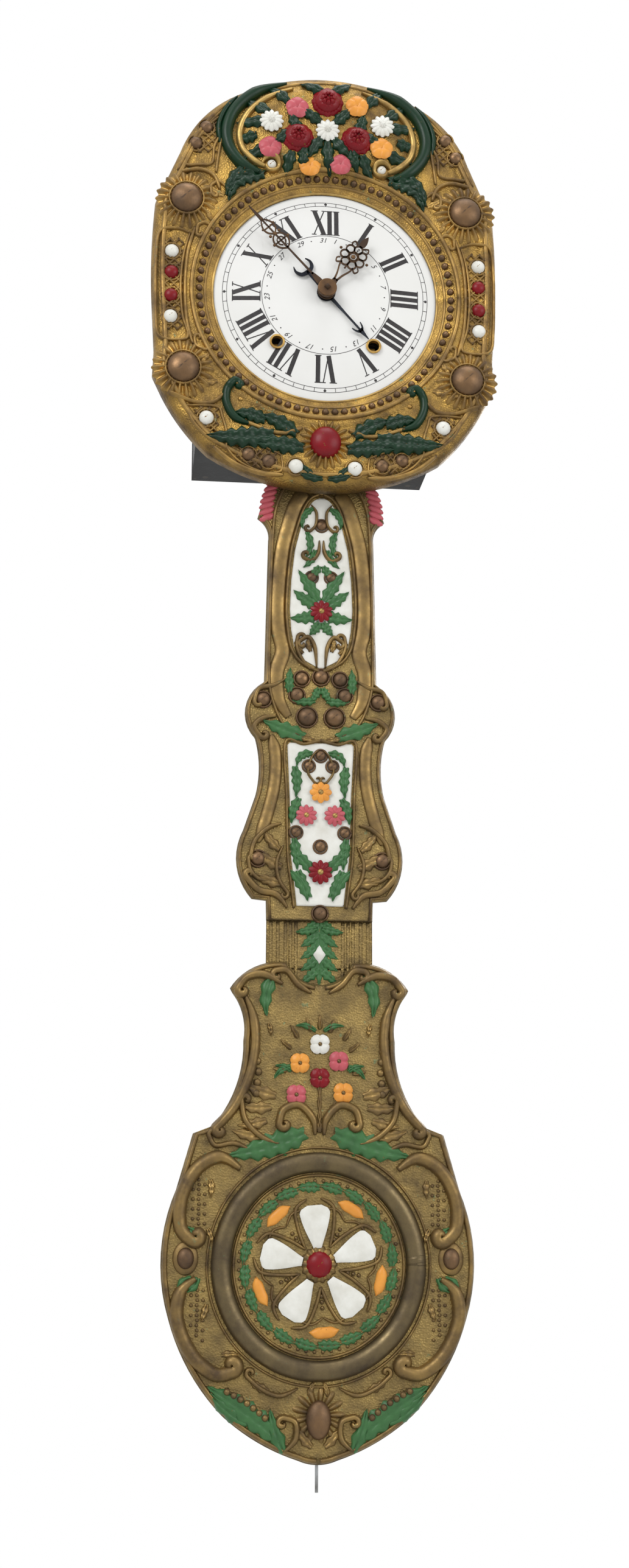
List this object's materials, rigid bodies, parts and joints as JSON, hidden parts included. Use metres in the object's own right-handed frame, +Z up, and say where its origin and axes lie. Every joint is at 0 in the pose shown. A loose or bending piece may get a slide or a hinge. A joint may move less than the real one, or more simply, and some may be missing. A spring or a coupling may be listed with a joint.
{
  "type": "comtoise clock",
  "caption": "Wall-hung weight clock with an iron cage movement, enamel dial in a painted stamped brass head, and a long painted stamped brass pendulum.",
  "frame": {"origin": "on the wall plane, behind the axis of the hands", "axes": "+X to the viewer's right, +Y into the wall, +Z up"},
  "size_m": [0.337, 0.207, 1.3364],
  "materials": {
    "stamped_brass": "stamped, lacquered and painted, aged",
    "bob_brass": "stamped, lacquered and painted, aged",
    "brass": "turned brass, dulled",
    "hand_brass": "pierced brass with brown patina",
    "enamel": "white vitreous enamel on copper, glossy",
    "steel": "turned steel",
    "dark_steel": "blued steel",
    "black_iron": "black painted sheet iron",
    "wrought_iron": "forged iron",
    "bell_metal": "cast bell metal",
    "lead": "cast lead"
  },
  "bodies": {
    "case": {"surround": "stamped_brass", "surround_pins": "brass", "dial": "enamel", "winding_grommets": "brass", "dial_plate": "wrought_iron", "plate_posts": "wrought_iron", "cage_top_plate": "black_iron", "cage_bottom_plate": "black_iron", "cage_pillars": "wrought_iron", "front_bars": "wrought_iron", "rear_bars": "wrought_iron", "back_plate": "black_iron", "door_pintles": "wrought_iron", "wall_hanger": "black_iron", "bell": "bell_metal", "bell_post": "steel", "bell_nut": "steel", "motion_stud": "steel", "suspension_cock": "wrought_iron"},
    "left_door": {"left_door": "black_iron"},
    "right_door": {"right_door": "black_iron"},
    "minute": {"centre_arbor": "steel", "centre_wheel": "brass", "cannon_pinion": "brass", "minute_hand": "hand_brass", "hand_nut": "hand_brass"},
    "motion": {"minute_wheel": "brass"},
    "hour": {"hour_wheel": "brass", "hour_hand": "hand_brass"},
    "calendar": {"calendar_wheel": "brass", "calendar_hand": "dark_steel"},
    "going_great": {"going_great_wheel": "brass", "going_click": "steel"},
    "going_drum": {"going_barrel": "brass"},
    "third": {"third_arbor": "steel", "third_wheel": "brass"},
    "escape": {"escape_arbor": "steel", "escape_wheel": "brass"},
    "strike_great": {"strike_great_wheel": "brass", "strike_click": "steel"},
    "strike_drum": {"strike_barrel": "brass"},
    "pins": {"pin_wheel_arbor": "steel", "pin_wheel": "brass"},
    "warning": {"warning_arbor": "steel", "warning_wheel": "brass"},
    "fly": {"fly_arbor": "steel", "fly": "brass"},
    "hammer": {"hammer": "wrought_iron"},
    "anchor": {"anchor": "steel", "crutch": "steel"},
    "pendulum": {"suspension_spring": "steel", "pendulum_leader": "wrought_iron", "upper_plate": "stamped_brass", "upper_backing": "wrought_iron", "bob_pin": "steel"},
    "bob": {"bob_plate": "bob_brass", "bob_backing": "wrought_iron", "bob_weight": "lead", "rating_rod": "steel"},
    "rating_nut": {"rating_nut": "brass"}
  },
  "joints": [
    {"name": "minute_hand_turn", "type": "hinge", "parent": "case", "child": "minute", "pos_m": [0, 0, 0], "axis": [0, 1, 0], "continuous": true},
    {"name": "minute_wheel_turn", "type": "hinge", "parent": "case", "child": "motion", "pos_m": [-0.01559, 0, 0.009], "axis": [0, 1, 0], "continuous": true},
    {"name": "hour_hand_turn", "type": "hinge", "parent": "case", "child": "hour", "pos_m": [0, 0, 0], "axis": [0, 1, 0], "continuous": true},
    {"name": "calendar_hand_turn", "type": "hinge", "parent": "case", "child": "calendar", "pos_m": [0, 0, 0], "axis": [0, 1, 0], "continuous": true},
    {"name": "going_great_turn", "type": "hinge", "parent": "case", "child": "going_great", "pos_m": [0.0465, 0, -0.05138], "axis": [0, 1, 0], "continuous": true},
    {"name": "going_winding", "type": "hinge", "parent": "going_great", "child": "going_drum", "pos_m": [0.0465, 0, -0.05138], "axis": [0, 1, 0], "continuous": true},
    {"name": "third_turn", "type": "hinge", "parent": "case", "child": "third", "pos_m": [0.03001, 0, 0.03107], "axis": [0, 1, 0], "continuous": true},
    {"name": "escape_turn", "type": "hinge", "parent": "case", "child": "escape", "pos_m": [0, 0, 0.05041], "axis": [0, 1, 0], "continuous": true},
    {"name": "pin_wheel_turn", "type": "hinge", "parent": "case", "child": "pins", "pos_m": [-0.0465, 0, -0.00338], "axis": [0, 1, 0], "continuous": true},
    {"name": "strike_great_turn", "type": "hinge", "parent": "case", "child": "strike_great", "pos_m": [-0.0465, 0, -0.05138], "axis": [0, 1, 0], "continuous": true},
    {"name": "strike_winding", "type": "hinge", "parent": "strike_great", "child": "strike_drum", "pos_m": [-0.0465, 0, -0.05138], "axis": [0, 1, 0], "continuous": true},
    {"name": "warning_turn", "type": "hinge", "parent": "case", "child": "warning", "pos_m": [-0.0465, 0, 0.03262], "axis": [0, 1, 0], "continuous": true},
    {"name": "fly_turn", "type": "hinge", "parent": "case", "child": "fly", "pos_m": [-0.0465, 0, 0.05712], "axis": [0, 1, 0], "continuous": true},
    {"name": "hammer_lift", "type": "hinge", "parent": "case", "child": "hammer", "pos_m": [-0.088, 0, -0.01], "axis": [0, 1, 0], "range_deg": [-8, 0]},
    {"name": "pendulum_swing", "type": "hinge", "parent": "case", "child": "pendulum", "pos_m": [0, 0, 0.1], "axis": [0, 1, 0], "range_deg": [-3, 3]},
    {"name": "anchor_rock", "type": "hinge", "parent": "case", "child": "anchor", "pos_m": [0, 0, 0.1], "axis": [0, 1, 0], "range_deg": [-3, 3]},
    {"name": "bob_pivot", "type": "hinge", "parent": "pendulum", "child": "bob", "pos_m": [0, 0, -0.652], "axis": [0, 1, 0], "range_deg": [-8, 8]},
    {"name": "rating_nut_turn", "type": "hinge", "parent": "bob", "child": "rating_nut", "pos_m": [0, -0.1443, -0.981], "axis": [0, 0, 1], "continuous": true},
    {"name": "left_door_swing", "type": "hinge", "parent": "case", "child": "left_door", "pos_m": [-0.116, -0.006, 0], "axis": [0, 0, -1], "range_deg": [0, 85]},
    {"name": "right_door_swing", "type": "hinge", "parent": "case", "child": "right_door", "pos_m": [0.116, -0.006, 0], "axis": [0, 0, 1], "range_deg": [0, 85]}
  ],
  "couplings": [
    {"joint": "minute_wheel_turn", "follows": "minute_hand_turn", "ratio": -0.33333},
    {"joint": "hour_hand_turn", "follows": "minute_hand_turn", "ratio": 0.083333},
    {"joint": "going_great_turn", "follows": "minute_hand_turn", "ratio": -0.125},
    {"joint": "third_turn", "follows": "minute_hand_turn", "ratio": -8},
    {"joint": "escape_turn", "follows": "minute_hand_turn", "ratio": 60},
    {"joint": "strike_great_turn", "follows": "pin_wheel_turn", "ratio": -0.14286},
    {"joint": "warning_turn", "follows": "pin_wheel_turn", "ratio": -6.5},
    {"joint": "fly_turn", "follows": "pin_wheel_turn", "ratio": 39},
    {"joint": "anchor_rock", "follows": "pendulum_swing", "ratio": 1}
  ]
}
